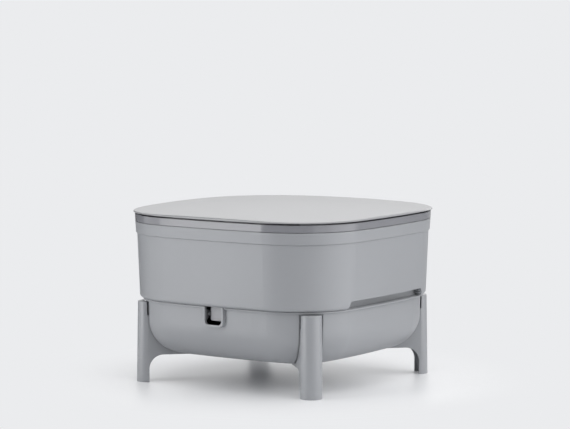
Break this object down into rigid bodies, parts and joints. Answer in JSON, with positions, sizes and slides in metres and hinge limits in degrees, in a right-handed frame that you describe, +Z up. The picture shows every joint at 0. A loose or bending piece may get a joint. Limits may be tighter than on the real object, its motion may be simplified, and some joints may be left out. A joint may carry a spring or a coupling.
{
  "type": "worm composter",
  "caption": "Square stacking worm composter in grey plastic: domed lid on a drilled worm tray, nested on a round-bottomed collecting tray with a thumb-lever drain and corner legs.",
  "frame": {"origin": "on the floor under the middle of the object", "axes": "+Z up; -Y towards the front, where the tap notch and drain lever are; +X to the right seen from the front; the long hand slots are on +X and -X"},
  "size_m": [0.385, 0.385, 0.2565],
  "materials": {
    "lid_plastic": "fine texture, satin",
    "band_plastic": "satin gloss",
    "tray_plastic": "fine texture, matte",
    "leg_plastic": "fine texture, matte",
    "lever_plastic": "satin",
    "stainless_steel": "drawn",
    "stopper_rubber": "moulded"
  },
  "bodies": {
    "base": {"collecting_tray": "tray_plastic", "leg_front_left": "leg_plastic", "leg_front_right": "leg_plastic", "leg_rear_left": "leg_plastic", "leg_rear_right": "leg_plastic", "leg_screws": "stainless_steel", "lever_pin": "stainless_steel", "drain_strainer": "lever_plastic"},
    "tray": {"worm_tray": "tray_plastic"},
    "lid": {"lid_plate": "lid_plastic", "lid_frame": "band_plastic", "lid_screws": "stainless_steel"},
    "lever": {"drain_lever": "lever_plastic"},
    "rod": {"drain_rod": "stainless_steel", "rod_cap": "lever_plastic", "rod_clip": "lever_plastic", "drain_stopper": "stopper_rubber"}
  },
  "joints": [
    {"name": "worm_tray_lift", "type": "slide", "parent": "base", "child": "tray", "axis": [0, 0, 1], "range_m": [0, 0.15]},
    {"name": "lid_lift", "type": "slide", "parent": "tray", "child": "lid", "axis": [0, 0, 1], "range_m": [0, 0.12]},
    {"name": "lever_press", "type": "hinge", "parent": "base", "child": "lever", "pos_m": [0, -0.1664, 0.1115], "axis": [1, 0, 0], "range_deg": [0, 16]},
    {"name": "rod_rise", "type": "slide", "parent": "base", "child": "rod", "axis": [0, 0, 1], "range_m": [0, 0.0102]}
  ],
  "couplings": [
    {"joint": "rod_rise", "follows": "lever_press", "m_per_rad": 0.0358}
  ]
}
